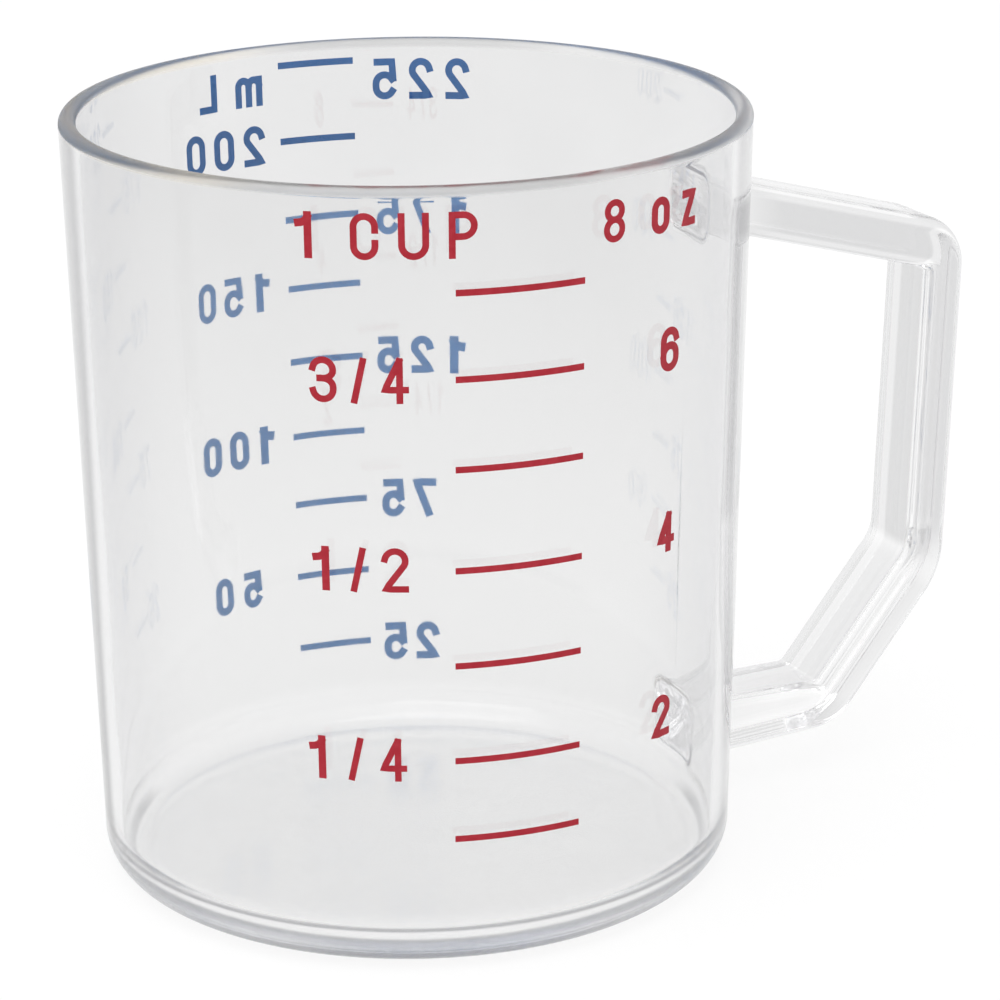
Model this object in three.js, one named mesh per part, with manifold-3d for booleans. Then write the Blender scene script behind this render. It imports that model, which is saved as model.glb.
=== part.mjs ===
// Clear one-cup measuring cup with an angular strap handle and two printed scales.
// Millimetres, +Z up. The origin is the centre of the flat underside and the handle points along +X.

import * as THREE from "three";
import { mergeVertices } from "three/addons/utils/BufferGeometryUtils.js";
import Module from "manifold-3d";

// Cup, a thin tapered shell
const CUP_HEIGHT = 78.3;
const RIM_RADIUS = 34.15; // outside of the wall, carried up to the brim
const BASE_RADIUS = 32.3; // outside of the wall, carried down to the table
const WALL = 1.75;
const FLOOR = 2.2;
const BASE_CORNER = 3.8; // outside round from the wall into the underside
const INNER_CORNER = 3.2; // inside round from the wall into the floor

// Handle, one flat strap bent three times
const STRAP_WIDTH = 9.2;
const STRAP_EDGE = 1.1; // round along the four long edges
const TOP_BAR_THICKNESS = 5.4;
const GRIP_THICKNESS = 4.8;
const BRACE_THICKNESS = 5.6;
const LOWER_ROOT_THICKNESS = 6.1; // the lower bar grows to this from the brace's
const HANDLE_STANDOFF = 26.6; // rim's outside to the strap's middle at the upper bend
const TOP_ROOT_DROP = 13.3; // brim down to the strap's middle at the upper root
const TOP_BAR_FALL = 15.6; // degrees that the top bar drops on its way out
const GRIP_LEAN = 2.5; // degrees that the grip leans in towards its foot
const GRIP_FOOT_HEIGHT = 22.7; // table to the strap's middle where the grip ends
const BRACE_ANGLE = 50.8; // degrees between the slanted brace and the table
const LOWER_BEND_HEIGHT = 8.0; // table to the strap's middle where the brace ends
const LOWER_ROOT_HEIGHT = 7.65; // table to the strap's middle at the lower root
const UPPER_BEND = 0.5; // inside radius of the bend from the top bar into the grip
const FOOT_BEND = 4.5; // the same from the grip into the brace
const LOWER_BEND = 0.8; // and from the brace into the lower bar
const ROOT_FLARE = 1.6; // fillet where the strap spreads on to the wall
const ROOT_CLEARANCE = 0.3; // bond line between the strap and the wall
const RUN_ON = 5; // how far the strap's ends run into the wall before they are cut

// Printed scales: red ounces at the front, blue millilitres at the back
const CUP_OUNCES = 8;
const CUP_ML = 236.6; // what the cup holds when it is full to the brim
const ML_STEP = 25;
const BRIM_MARGIN = 0.97; // no line is printed above this share of the cup
const INK_THICKNESS = 0.1;
const INK_CLEARANCE = 0.03; // ink film to wall
const OUNCE_LINE_LENGTH = 12.65;
const OUNCE_LINE_HEIGHT = 0.62;
const OUNCE_LINE_END = -86.2; // degrees about the cup, where all ounce lines end
const OUNCE_STRAY = new Map([[1, 1.75], [5, 0.55], [7, -0.9]]); // lines printed off their true level
const ML_LINE_LENGTH = 8.5;
const ML_LINE_HEIGHT = 0.7;
const ML_LINE_END = 89.3; // degrees about the cup, where all millilitre lines end
const ML_STRAY = new Map([[100, -0.4], [150, 0.25], [200, 0.6], [225, 1.1]]); // the same for these

// Colours
const RED_INK = 0xc3172f;
const BLUE_INK = 0x3f68b5;
const CLEAR_PLASTIC = 0xeef1f2;

// Facets
const TURN_STEPS = 72; // round the cup
const CORNER_STEPS = 5; // through each round of the cup's section
const RIM_STEPS = 6; // over the lip
const EDGE_STEPS = 3; // round each edge of the strap
const BEND_STEPS = 5; // through each bend of the strap
const FLARE_STEPS = 7; // through each root of the strap
const INK_STEPS = 4; // along each half of a line
const LEAST_STEP = 0.1; // sections of the strap closer than this are one

const rad = THREE.MathUtils.degToRad;
const taper = Math.atan((RIM_RADIUS - BASE_RADIUS) / CUP_HEIGHT);

function outerRadius(z) {
  return BASE_RADIUS + z * Math.tan(taper);
}

function innerRadius(z) {
  return outerRadius(z) - WALL / Math.cos(taper);
}

function arc(x, z, radius, from, to, steps) {
  return Array.from({ length: steps + 1 }, (_, i) => {
    const angle = from + ((to - from) * i) / steps;
    return new THREE.Vector2(x + radius * Math.cos(angle), z + radius * Math.sin(angle));
  });
}

// Cup body: one closed section, from the middle of the underside round the lip to the middle of the floor

function cupSection() {
  const outerZ = BASE_CORNER;
  const outerX = outerRadius(outerZ) - BASE_CORNER / Math.cos(taper);
  const innerZ = FLOOR + INNER_CORNER;
  const innerX = innerRadius(innerZ) - INNER_CORNER / Math.cos(taper);
  const lip = WALL / 2;
  const lipZ = CUP_HEIGHT - lip;
  const lipX = (outerRadius(lipZ) + innerRadius(lipZ)) / 2;
  return [
    new THREE.Vector2(0, 0),
    ...arc(outerX, outerZ, BASE_CORNER, -Math.PI / 2, -taper, CORNER_STEPS),
    ...arc(lipX, lipZ, lip, -taper, Math.PI - taper, RIM_STEPS),
    ...arc(innerX, innerZ, INNER_CORNER, -taper, -Math.PI / 2, CORNER_STEPS),
    new THREE.Vector2(0, FLOOR),
  ];
}

function cupBody() {
  return new THREE.LatheGeometry(cupSection(), TURN_STEPS).rotateX(Math.PI / 2);
}

// Handle: a rounded strap section carried along a bent path in the XZ plane, spread at both roots

function handleCorners() {
  const topZ = CUP_HEIGHT - TOP_ROOT_DROP;
  const topX = outerRadius(topZ);
  const bendX = RIM_RADIUS + HANDLE_STANDOFF;
  const bendZ = topZ - (bendX - topX) * Math.tan(rad(TOP_BAR_FALL));
  const footX = bendX - (bendZ - GRIP_FOOT_HEIGHT) * Math.tan(rad(GRIP_LEAN));
  const braceX = footX - (GRIP_FOOT_HEIGHT - LOWER_BEND_HEIGHT) / Math.tan(rad(BRACE_ANGLE));
  const lowX = outerRadius(LOWER_ROOT_HEIGHT);
  return [
    new THREE.Vector2(topX, topZ),
    new THREE.Vector2(bendX, bendZ),
    new THREE.Vector2(footX, GRIP_FOOT_HEIGHT),
    new THREE.Vector2(braceX, LOWER_BEND_HEIGHT),
    new THREE.Vector2(lowX, LOWER_ROOT_HEIGHT),
  ];
}

// The straight runs between the corners, joined by an arc of the given radius at each inner corner.
// Both ends run on into the wall, where the cup cuts them off.
function bentPath(corners, radii, runOn) {
  const path = new THREE.Path();
  const heading = (i) => corners[i + 1].clone().sub(corners[i]).normalize();
  path.moveTo(...corners[0].clone().addScaledVector(heading(0), -runOn));
  radii.forEach((radius, k) => {
    const before = heading(k);
    const after = heading(k + 1);
    const turn = before.angleTo(after);
    const clockwise = before.cross(after) < 0;
    const side = clockwise ? -1 : 1;
    const start = corners[k + 1].clone().addScaledVector(before, -radius * Math.tan(turn / 2));
    const centre = start.clone().add(new THREE.Vector2(-before.y, before.x).multiplyScalar(side * radius));
    const from = Math.atan2(start.y - centre.y, start.x - centre.x);
    path.lineTo(start.x, start.y);
    path.absarc(centre.x, centre.y, radius, from, from + side * turn, clockwise);
  });
  const last = corners.length - 1;
  const end = corners[last].clone().addScaledVector(heading(last - 1), runOn);
  path.lineTo(end.x, end.y);
  return path;
}

// Lengths along the path at which the strap gets a section: evenly through each bend and each root.
function stations(path, rootStart, rootEnd) {
  const ends = path.getCurveLengths();
  const total = ends.at(-1);
  const places = new Set();
  path.curves.forEach((curve, i) => {
    const start = i === 0 ? 0 : ends[i - 1];
    const steps = curve.isEllipseCurve ? BEND_STEPS : 1;
    for (let k = 0; k <= steps; k++) {
      places.add(start + ((ends[i] - start) * k) / steps);
    }
  });
  for (let k = 0; k <= FLARE_STEPS; k++) {
    const fromEnd = rootStart + ((rootEnd - rootStart) * k) / FLARE_STEPS;
    places.add(fromEnd);
    places.add(total - fromEnd);
  }
  const sorted = [...places].sort((a, b) => a - b);
  return sorted.filter((s, i) => i === 0 || s - sorted[i - 1] > LEAST_STEP);
}

// The strap's thickness at a length along its path: even along the top bar, the grip and the brace, changing
// through the bends between them and growing along the lower bar.
function thicknessAt(place, ends) {
  const knots = [0, ...ends];
  const sizes = [
    ...[TOP_BAR_THICKNESS, TOP_BAR_THICKNESS, GRIP_THICKNESS, GRIP_THICKNESS],
    ...[BRACE_THICKNESS, BRACE_THICKNESS, BRACE_THICKNESS, LOWER_ROOT_THICKNESS],
  ];
  const next = THREE.MathUtils.clamp(knots.filter((knot) => knot < place).length, 1, ends.length);
  return THREE.MathUtils.mapLinear(place, knots[next - 1], knots[next], sizes[next - 1], sizes[next]);
}

// Points of the strap's section with their outward directions: x across the strap, y through it.
function strapSection(thickness) {
  const reach = new THREE.Vector2(STRAP_WIDTH / 2 - STRAP_EDGE, thickness / 2 - STRAP_EDGE);
  const corners = [[1, 1], [-1, 1], [-1, -1], [1, -1]];
  return corners.flatMap(([x, y], corner) =>
    arc(0, 0, 1, (corner * Math.PI) / 2, ((corner + 1) * Math.PI) / 2, EDGE_STEPS).map((normal) => ({
      normal,
      point: new THREE.Vector2(x * reach.x, y * reach.y).addScaledVector(normal, STRAP_EDGE),
    })),
  );
}

// A quarter-round fillet: how far the strap has spread at this distance from the wall.
function flare(distance) {
  const left = THREE.MathUtils.clamp(ROOT_FLARE - distance, 0, ROOT_FLARE);
  return ROOT_FLARE - Math.sqrt(ROOT_FLARE ** 2 - left ** 2);
}

function strapRings() {
  const half = LOWER_ROOT_THICKNESS / 2;
  const radii = [
    UPPER_BEND + TOP_BAR_THICKNESS / 2,
    FOOT_BEND + BRACE_THICKNESS / 2,
    LOWER_BEND + BRACE_THICKNESS / 2,
  ];
  const path = bentPath(handleCorners(), radii, RUN_ON);
  const ends = path.getCurveLengths().filter((end, i, all) => i === 0 || end - all[i - 1] > LEAST_STEP);
  const length = path.getLength();
  return stations(path, RUN_ON - half, RUN_ON + ROOT_FLARE + half).map((place) => {
    const share = Math.min(place / length, 1);
    const middle = path.getPointAt(share);
    const along = path.getTangentAt(share);
    return strapSection(thicknessAt(place, ends)).map(({ point, normal }) => {
      const place3 = (v) => new THREE.Vector3(middle.x - v.y * along.y, v.x, middle.y + v.y * along.x);
      const bare = place3(point);
      const distance = Math.hypot(bare.x, bare.y) - outerRadius(bare.z);
      return place3(point.clone().addScaledVector(normal, flare(distance)));
    });
  });
}

function loft(rings) {
  const count = rings[0].length;
  const last = (rings.length - 1) * count;
  const index = [];
  for (let a = 0; a < last; a++) {
    const b = (a + 1) % count === 0 ? a + 1 - count : a + 1;
    index.push(a, b, b + count, a, b + count, a + count);
  }
  for (let j = 1; j < count - 1; j++) {
    index.push(0, j + 1, j);
    index.push(last, last + j, last + j + 1);
  }
  const geometry = new THREE.BufferGeometry().setFromPoints(rings.flat());
  geometry.setIndex(index);
  return geometry;
}

const wasm = await Module();
wasm.setup();

function toSolid(geometry) {
  const bare = geometry.clone();
  bare.deleteAttribute("normal");
  bare.deleteAttribute("uv");
  const merged = mergeVertices(bare);
  const vertProperties = merged.attributes.position.array;
  const triVerts = Uint32Array.from(merged.index.array);
  return new wasm.Manifold(new wasm.Mesh({ numProp: 3, vertProperties, triVerts }));
}

function toGeometry(solid) {
  const mesh = solid.getMesh();
  const geometry = new THREE.BufferGeometry();
  geometry.setAttribute("position", new THREE.BufferAttribute(mesh.vertProperties, 3));
  geometry.setIndex(new THREE.BufferAttribute(mesh.triVerts, 1));
  geometry.computeVertexNormals();
  return geometry;
}

function handle() {
  const top = RIM_RADIUS + ROOT_CLEARANCE;
  const bottom = BASE_RADIUS + ROOT_CLEARANCE;
  const wallFace = new THREE.CylinderGeometry(top, bottom, CUP_HEIGHT, TURN_STEPS);
  wallFace.rotateX(Math.PI / 2).translate(0, 0, CUP_HEIGHT / 2);
  return toGeometry(toSolid(loft(strapRings())).subtract(toSolid(wallFace)));
}

// Scales: a line sits where the cup, filled from the floor, holds its share of the brimful

function fillHeight(share) {
  const low = innerRadius(FLOOR);
  const high = innerRadius(CUP_HEIGHT);
  const cube = low ** 3 + share * (high ** 3 - low ** 3);
  return FLOOR + (Math.cbrt(cube) - low) / Math.tan(taper);
}

function inkLine(z, length, height) {
  const inside = outerRadius(z + height / 2) + INK_CLEARANCE;
  const outside = inside + INK_THICKNESS;
  const sweep = length / outside;
  const band = new THREE.Shape();
  band.absarc(0, 0, outside, -sweep, 0, false);
  band.absarc(0, 0, inside, 0, -sweep, true);
  return new THREE.ExtrudeGeometry(band, { depth: height, curveSegments: INK_STEPS, bevelEnabled: false });
}

function addLine(group, name, z, { length, height, end, color }) {
  const material = new THREE.MeshStandardMaterial({ color, roughness: 0.45, metalness: 0 });
  const line = new THREE.Mesh(inkLine(z, length, height), material);
  line.name = name;
  line.position.z = z - height / 2;
  line.rotation.z = rad(end);
  group.add(line);
}

function ounceScale() {
  const style = {
    length: OUNCE_LINE_LENGTH,
    height: OUNCE_LINE_HEIGHT,
    end: OUNCE_LINE_END,
    color: RED_INK,
  };
  const scale = new THREE.Group();
  const topOunce = Math.floor(CUP_OUNCES * BRIM_MARGIN);
  for (let ounces = 1; ounces <= topOunce; ounces++) {
    const z = fillHeight(ounces / CUP_OUNCES) + (OUNCE_STRAY.get(ounces) ?? 0);
    addLine(scale, `ounce_line_${ounces}`, z, style);
  }
  return scale;
}

function millilitreScale() {
  const style = {
    length: ML_LINE_LENGTH,
    height: ML_LINE_HEIGHT,
    end: ML_LINE_END,
    color: BLUE_INK,
  };
  const scale = new THREE.Group();
  const topMl = ML_STEP * Math.floor((CUP_ML * BRIM_MARGIN) / ML_STEP);
  for (let ml = ML_STEP; ml <= topMl; ml += ML_STEP) {
    const z = fillHeight(ml / CUP_ML) + (ML_STRAY.get(ml) ?? 0);
    addLine(scale, `millilitre_line_${ml}`, z, style);
  }
  return scale;
}

function clearPlastic() {
  return new THREE.MeshStandardMaterial({
    color: CLEAR_PLASTIC,
    roughness: 0.06,
    metalness: 0,
    transparent: true,
    opacity: 0.35,
  });
}

function namedMesh(name, geometry) {
  const mesh = new THREE.Mesh(geometry, clearPlastic());
  mesh.name = name;
  return mesh;
}

const measuringCup = new THREE.Group();
measuringCup.add(namedMesh("cup_body", cupBody()));
measuringCup.add(namedMesh("handle", handle()));
measuringCup.add(ounceScale());
measuringCup.add(millilitreScale());

export default measuringCup;
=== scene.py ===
# %% [markdown]
# # A clear one-cup measuring cup
# The cup is one moulding of water-clear plastic with a flat strap for a handle. Red ounce marks are
# printed on its front and blue millilitre marks on its back. The imported model is loaded as a fixed frame,
# and every piece made here stands where the frame says.

import bpy
import numpy as np
from mathutils import Matrix, Vector


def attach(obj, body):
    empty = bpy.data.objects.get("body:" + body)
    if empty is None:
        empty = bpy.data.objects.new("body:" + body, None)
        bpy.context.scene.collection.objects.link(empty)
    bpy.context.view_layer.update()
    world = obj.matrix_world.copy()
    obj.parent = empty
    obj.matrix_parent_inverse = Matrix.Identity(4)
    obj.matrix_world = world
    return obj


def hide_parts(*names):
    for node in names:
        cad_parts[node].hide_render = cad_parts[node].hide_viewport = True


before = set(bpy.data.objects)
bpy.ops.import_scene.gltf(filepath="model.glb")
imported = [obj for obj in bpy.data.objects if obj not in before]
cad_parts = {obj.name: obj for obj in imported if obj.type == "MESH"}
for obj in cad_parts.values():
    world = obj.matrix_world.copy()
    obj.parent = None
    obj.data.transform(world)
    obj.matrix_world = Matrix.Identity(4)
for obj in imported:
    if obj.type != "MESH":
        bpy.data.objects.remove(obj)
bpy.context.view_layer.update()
MM = 0.001

# %% [markdown]
# ## The section of the cup
# A cup is a turned shape, so it is drawn as half a section and carried round an axis. The section runs
# from the middle of the underside, round the outer corner, up the leaning wall, over the full-round lip,
# down inside and across the floor. Blender's Spin tool would do the turning, but a grid worked out with
# numpy lets the handle grow out of the wall later, cell by cell.

# %% Sizes of the cup, in millimetres
CUP_HEIGHT = 78.3
RIM_RADIUS = 34.15
BASE_RADIUS = 32.3
WALL = 1.75
FLOOR = 2.2
BASE_CORNER = 3.8
INNER_CORNER = 3.2
LEAN = np.arctan2(RIM_RADIUS - BASE_RADIUS, CUP_HEIGHT)


def wall_line(height):
    """Radius of the straight outer wall: base radius plus the lean's share of the height."""
    return BASE_RADIUS + height * np.tan(LEAN)


CORNER_MIDDLE = wall_line(BASE_CORNER) - BASE_CORNER / np.cos(LEAN)
print(f"the wall leans by {np.degrees(LEAN):.2f} degrees")


# %% The outer wall as a radius for each height
def outer_radius(height):
    """Radius outside: the corner's quarter circle up to where it meets the wall, the straight wall above."""
    drop = np.clip(BASE_CORNER - height, 0.0, BASE_CORNER)
    arc = CORNER_MIDDLE + np.sqrt(BASE_CORNER**2 - drop**2)
    meets = BASE_CORNER * (1 - np.sin(LEAN))
    return np.where(height < meets, arc, wall_line(height))


def gap_to_wall(points):
    """Distance outwards from the outer wall: to the corner's circle below, to the cone's side above."""
    radius = np.hypot(points[..., 0], points[..., 1])
    height = points[..., 2]
    side = radius - CORNER_MIDDLE
    rise = height - BASE_CORNER
    to_corner = np.hypot(side, rise) - BASE_CORNER
    to_cone = (radius - wall_line(height)) * np.cos(LEAN)
    return np.where(np.arctan2(rise, side) < -LEAN, to_corner, to_cone)


print("outer radius at 0, 2, 10 and 70 mm:", outer_radius(np.array([0.0, 2, 10, 70])).round(2))

# %% [markdown]
# The rows of the grid lie close together where the section curves and far apart where it is straight.
# Two bands of the wall get even rows of their own, because the handle's roots are let in there. Next to
# each curve stands one extra row, which keeps the flat parts flat when the surface is shaded smooth.

# %% Rows of the section
UPPER_ROOT = 65.0
LOWER_ROOT = 7.65
UPPER_REACH = 5.6
LOWER_FOOT = 2.2
LOWER_HEAD = 13.3
ROOT_ROWS = 14
ROWS_IN_CORNER = 5
UPPER_BAND = np.linspace(UPPER_ROOT - UPPER_REACH, UPPER_ROOT + UPPER_REACH, ROOT_ROWS + 1)
in_corner = np.linspace(LOWER_FOOT, BASE_CORNER, ROWS_IN_CORNER + 1)[:-1]
over_corner = np.linspace(BASE_CORNER, LOWER_HEAD, ROOT_ROWS + 1 - ROWS_IN_CORNER)
LOWER_BAND = np.concatenate([in_corner, over_corner])
KEEP = 0.35


def arc(middle, height, radius, start, end, steps):
    """Points of a circle in the section, from one angle to another, as radius and height."""
    turn = np.linspace(start, end, steps + 1)
    return np.stack([middle + radius * np.cos(turn), height + radius * np.sin(turn)], 1)


def on_wall(heights):
    """Points of the outer wall at these heights."""
    return np.stack([outer_radius(heights), heights], 1)


lip_height = CUP_HEIGHT - WALL / 2
lip_middle = wall_line(lip_height) - WALL / 2 / np.cos(LEAN)
bowl_height = FLOOR + INNER_CORNER
bowl_middle = wall_line(bowl_height) - (WALL + INNER_CORNER) / np.cos(LEAN)
corner_end = np.arcsin((LOWER_BAND[0] - BASE_CORNER) / BASE_CORNER)
lip_start = lip_height - WALL / 2 * np.sin(LEAN)
print(f"lip at {lip_height:.2f} mm, inner corner turns about {bowl_middle:.2f}, {bowl_height:.2f} mm")

# %% Places of the straight rows
UNDERSIDE_RADII = np.array([8.0, 16.0, 22.0, CORNER_MIDDLE - 1.2, CORNER_MIDDLE - KEEP])
FLOOR_RADII = np.array([bowl_middle - KEEP, 22.0, 14.0, 7.0])
OVER_ROOT = np.array([72.6, 74.4, 76.0, lip_start - KEEP])
DOWN_INSIDE = np.array([0.006, 0.12, 0.25, 0.4, 0.55, 0.7, 0.85, 0.994])
WALL_STEPS = 8
CORNER_STEPS, LIP_STEPS, BOWL_STEPS = 16, 22, 14
print("steps through corner, lip and bowl:", CORNER_STEPS, LIP_STEPS, BOWL_STEPS)

# %% The whole section
underside = np.stack([UNDERSIDE_RADII, np.zeros(len(UNDERSIDE_RADII))], 1)
outer_corner = arc(CORNER_MIDDLE, BASE_CORNER, BASE_CORNER, -np.pi / 2, corner_end, CORNER_STEPS)[:-1]
between_roots = on_wall(np.linspace(LOWER_BAND[-1], UPPER_BAND[0], WALL_STEPS + 1)[1:-1])
over_root = on_wall(OVER_ROOT)
lip = arc(lip_middle, lip_height, WALL / 2, -LEAN, np.pi - LEAN, LIP_STEPS)
bowl = arc(bowl_middle, bowl_height, INNER_CORNER, -LEAN, -np.pi / 2, BOWL_STEPS)
inner_wall = lip[-1] + DOWN_INSIDE[:, None] * (bowl[0] - lip[-1])
floor_rings = np.stack([FLOOR_RADII, np.full(len(FLOOR_RADII), FLOOR)], 1)
section = np.concatenate(
    [underside, outer_corner, on_wall(LOWER_BAND), between_roots, on_wall(UPPER_BAND), over_root]
    + [lip, inner_wall, bowl, floor_rings]
)
lower_row = len(underside) + len(outer_corner)
upper_row = lower_row + len(LOWER_BAND) + len(between_roots)
print("rows in the section:", len(section))

# %% [markdown]
# ## Turning the section
# The columns stand every 1.125 degrees. The mould opens along the plane through the handle, and where its
# halves meet it leaves a fine raised line. The photograph shows it on the wall between the handle's roots,
# so a few extra columns carry it there.

# %% Columns round the cup
COLUMN_STEP = 1.125
SEAM_WIDTH = 0.5
SEAM_HEIGHT = 0.05
even = np.arange(-180, 180, COLUMN_STEP)
beside_seam = np.array([-SEAM_WIDTH, -SEAM_WIDTH / 2, SEAM_WIDTH / 2, SEAM_WIDTH])
columns = np.sort(np.concatenate([even, beside_seam]))
seam = SEAM_HEIGHT * np.cos(np.clip(np.abs(columns) / SEAM_WIDTH, 0, 1) * np.pi / 2) ** 2
SEAM_LOW, SEAM_HIGH = 14.0, 42.0
has_seam = np.arange(len(section)) < upper_row
has_seam &= (section[:, 1] > SEAM_LOW) & (section[:, 1] < SEAM_HIGH)


def turned(rows, angles):
    """Grid of points: each row's radius, and the seam's height on the outer wall, turned to each angle."""
    radius = rows[:, :1] + has_seam[:, None] * seam
    angle = np.radians(angles)
    height = np.broadcast_to(rows[:, 1:], radius.shape)
    return np.stack([radius * np.cos(angle), radius * np.sin(angle), height], 2)


cup_grid = turned(section, columns)
cup_index = np.arange(cup_grid.shape[0] * cup_grid.shape[1]).reshape(cup_grid.shape[:2])
print("cup grid:", cup_grid.shape[0], "rows by", cup_grid.shape[1], "columns")

# %% [markdown]
# ## The path of the handle
# The handle is one strap: a top bar that falls outwards, a grip, a slanted brace and a short lower bar.
# Its middle line is drawn as five corners with the bends put in as true arcs. A curve with a bevel would
# give a similar tube, but not roots that flow into the cup, so the strap is carried along the path here.

# %% Corners and bends of the strap
GRIP_HEAD, GRIP_FOOT, BRACE_FOOT = [60.75, 57.49], [59.23, 22.7], [47.24, 8.0]
upper_foot, lower_foot = ([wall_line(height), height] for height in (UPPER_ROOT, LOWER_ROOT))
STRAP_CORNERS = np.array([upper_foot, GRIP_HEAD, GRIP_FOOT, BRACE_FOOT, lower_foot])
BEND_RADII = (3.2, 7.3, 3.6)
BEND_STEPS = 12


def bend(corner, before, after, radius):
    """Arc that rounds one corner: it starts a tangent's length before the corner and turns about a middle."""
    turn = np.arctan2(before[0] * after[1] - before[1] * after[0], before @ after)
    start = corner - before * radius * np.tan(abs(turn) / 2)
    middle = start + radius * np.sign(turn) * np.array([-before[1], before[0]])
    heading = np.arctan2(before[1], before[0]) + np.linspace(0, turn, BEND_STEPS + 1)
    out = np.stack([np.sin(heading), -np.cos(heading)], 1) * np.sign(turn)
    return middle + radius * out, np.stack([np.cos(heading), np.sin(heading)], 1)


legs = np.diff(STRAP_CORNERS, axis=0)
legs = legs / np.linalg.norm(legs, axis=1)[:, None]
bends = [bend(STRAP_CORNERS[i + 1], legs[i], legs[i + 1], BEND_RADII[i]) for i in range(3)]
print("bends start at", [b[0][0].round(1).tolist() for b in bends])

# %% Stations along the strap
ROOT_RUN = 4.2
LEG_STEPS = 6


def leg(start, end, heading):
    """Straight stretch: stations from start to end, with one close to each end, all with one heading."""
    share = np.concatenate([[0.0], np.linspace(0, 1, LEG_STEPS + 1)[1:-1], [1.0]])
    length = np.linalg.norm(end - start)
    share = np.sort(np.concatenate([share, [KEEP / length, 1 - KEEP / length]]))
    return start + share[:, None] * (end - start), np.repeat(heading[None], len(share), 0)


leaves = STRAP_CORNERS[0] + legs[0] * ROOT_RUN
lands = STRAP_CORNERS[-1] - legs[-1] * ROOT_RUN
ends = [leaves, *[p for b in bends for p in (b[0][0], b[0][-1])], lands]
stretches = [leg(ends[2 * i], ends[2 * i + 1], legs[i]) for i in range(4)]
ordered = [stretches[0], *[s for i in range(3) for s in (tuple(a[1:-1] for a in bends[i]), stretches[i + 1])]]
path = np.concatenate([s[0] for s in ordered])
headings = np.concatenate([s[1] for s in ordered])
print("stations along the strap:", len(path))

# %% Thickness along the strap
TOP_BAR, GRIP, BRACE, LOWER_END = 5.4, 4.8, 5.6, 6.1
last_of_each = np.cumsum([len(s[0]) for s in ordered]) - 1
knots = np.sort(np.concatenate([[0], last_of_each[0::2], last_of_each[1::2] + 1]))
walked = np.concatenate([[0], np.cumsum(np.linalg.norm(np.diff(path, axis=0), axis=1))])
thickness = np.interp(walked, walked[knots], [TOP_BAR, TOP_BAR, GRIP, GRIP, BRACE, BRACE, BRACE, LOWER_END])
print("thickness from", thickness.min(), "to", thickness.max(), "mm")

# %% [markdown]
# ## The strap's section and its roots
# The section is a flat bar with rounded edges, sampled in the same order as the cells round the opening
# that is left in the wall, so each of its lines runs on into one line of the cup. At a root the section
# spreads in a quarter-round on to the wall: each line of the strap is moved out by the spread and slid
# along the strap until its distance from the wall is right.

# %% The strap's section
STRAP_WIDTH = 9.2
STRAP_EDGE = 1.5
HALF_WIDTH = STRAP_WIDTH / 2
HALF_THICKNESS = GRIP / 2
EDGE_STEPS = (6, 5)
MIDDLE_LINES = (-0.12, 0.0, 0.12)
BESIDE_MIDDLE = 0.25


def across(half, rim_steps, middle):
    """Places across one side: even steps in the rounded rims, the given ones between them."""
    rim = np.linspace(half - STRAP_EDGE, half, rim_steps + 1)
    return np.concatenate([-rim[::-1], middle, rim])


inside_width = np.linspace(HALF_WIDTH - STRAP_EDGE, BESIDE_MIDDLE, 7)[1:]
inside_width = np.concatenate([-inside_width, MIDDLE_LINES, inside_width[::-1]])
inside_thickness = np.linspace(-HALF_THICKNESS + STRAP_EDGE, HALF_THICKNESS - STRAP_EDGE, 5)[1:-1]
wide = across(HALF_WIDTH, EDGE_STEPS[0], inside_width)
thick = across(HALF_THICKNESS, EDGE_STEPS[1], inside_thickness)


def round_loop(along, up):
    """Loop round a rectangle's grid: along the bottom, up the right, back along the top, down the left."""
    bottom = np.stack([along, np.full(len(along), up[0])], 1)[:-1]
    right = np.stack([np.full(len(up), along[-1]), up], 1)[:-1]
    top = np.stack([along[::-1], np.full(len(along), up[-1])], 1)[:-1]
    left = np.stack([np.full(len(up), along[0]), up[::-1]], 1)[:-1]
    return np.concatenate([bottom, right, top, left])


flat_loop = round_loop(wide, thick)
core = np.clip(flat_loop, [-HALF_WIDTH + STRAP_EDGE, -HALF_THICKNESS + STRAP_EDGE],
               [HALF_WIDTH - STRAP_EDGE, HALF_THICKNESS - STRAP_EDGE])
outwards = (flat_loop - core) / np.linalg.norm(flat_loop - core, axis=1)[:, None]
print("points round the strap:", len(core))


# %% Carrying the section along the path
def strap_loops(thicknesses):
    """Section for each thickness: its core is stretched to fit and the rounded edge is laid round it."""
    stretch = (np.atleast_1d(thicknesses) / 2 - STRAP_EDGE) / (HALF_THICKNESS - STRAP_EDGE)
    return core * np.stack([np.ones_like(stretch), stretch], 1)[:, None] + STRAP_EDGE * outwards


def carried(stations, directions, loops):
    """Points of a section at each station: width along Y, thickness at right angles to the heading."""
    up = np.stack([-directions[:, 1], directions[:, 0]], 1)[:, None]
    flat = stations[:, None] + up * loops[..., 1:]
    width = np.broadcast_to(loops[..., 0], flat.shape[:2])
    return np.stack([flat[..., 0], width, flat[..., 1]], 2)


strap_rings = carried(path, headings, strap_loops(thickness))
print("strap rings:", strap_rings.shape[:2])

# %% Spreading a root on to the wall
ROOT_STEPS = 9
ROOT_FLARE = 1.6
SLIDES = 6
NUDGE = 0.01


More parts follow.
